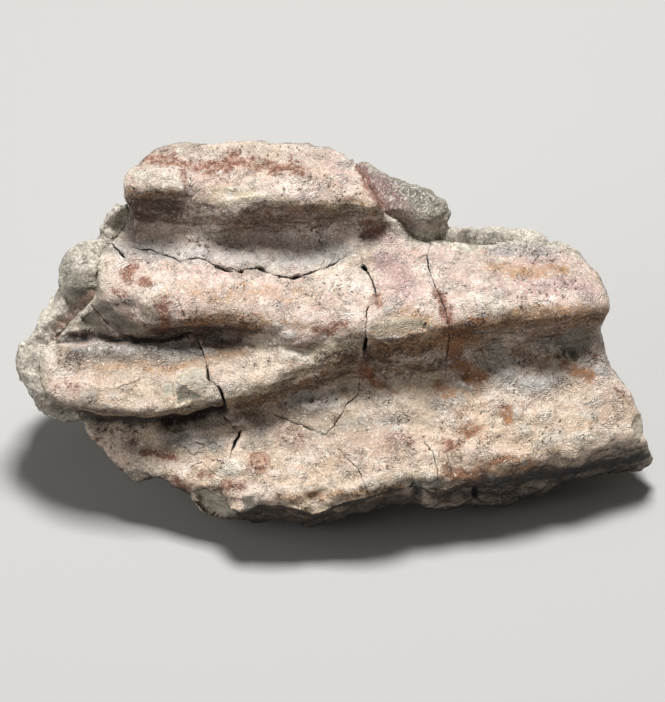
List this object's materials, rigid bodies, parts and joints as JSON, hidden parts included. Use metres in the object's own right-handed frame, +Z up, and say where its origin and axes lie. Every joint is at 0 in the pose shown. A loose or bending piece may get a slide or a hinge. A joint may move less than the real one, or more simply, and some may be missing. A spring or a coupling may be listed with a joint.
{
  "type": "fossil amphibian scute",
  "caption": "Broken plate of ridged fossil bone, leaning back on the wedge of grey-green rock that it is joined to, and resting on the rock's flat foot.",
  "frame": {"origin": "middle of the specimen's bounding box, on the ground that it rests on", "axes": "+Z up; +X along the ridges, to the right as the ridged face is looked at; the ridged face looks along -Y and up, at 45 degrees"},
  "size_m": [0.091, 0.0459, 0.0432],
  "materials": {
    "weathered_bone": "satin mineral skin, cream and pink with rust-brown stains, fine pores and cracks",
    "grey_matrix": "rough, granular grey-green broken stone with bright grains"
  },
  "bodies": {
    "root": {"scute": "weathered_bone", "matrix": "grey_matrix"}
  },
  "joints": []
}
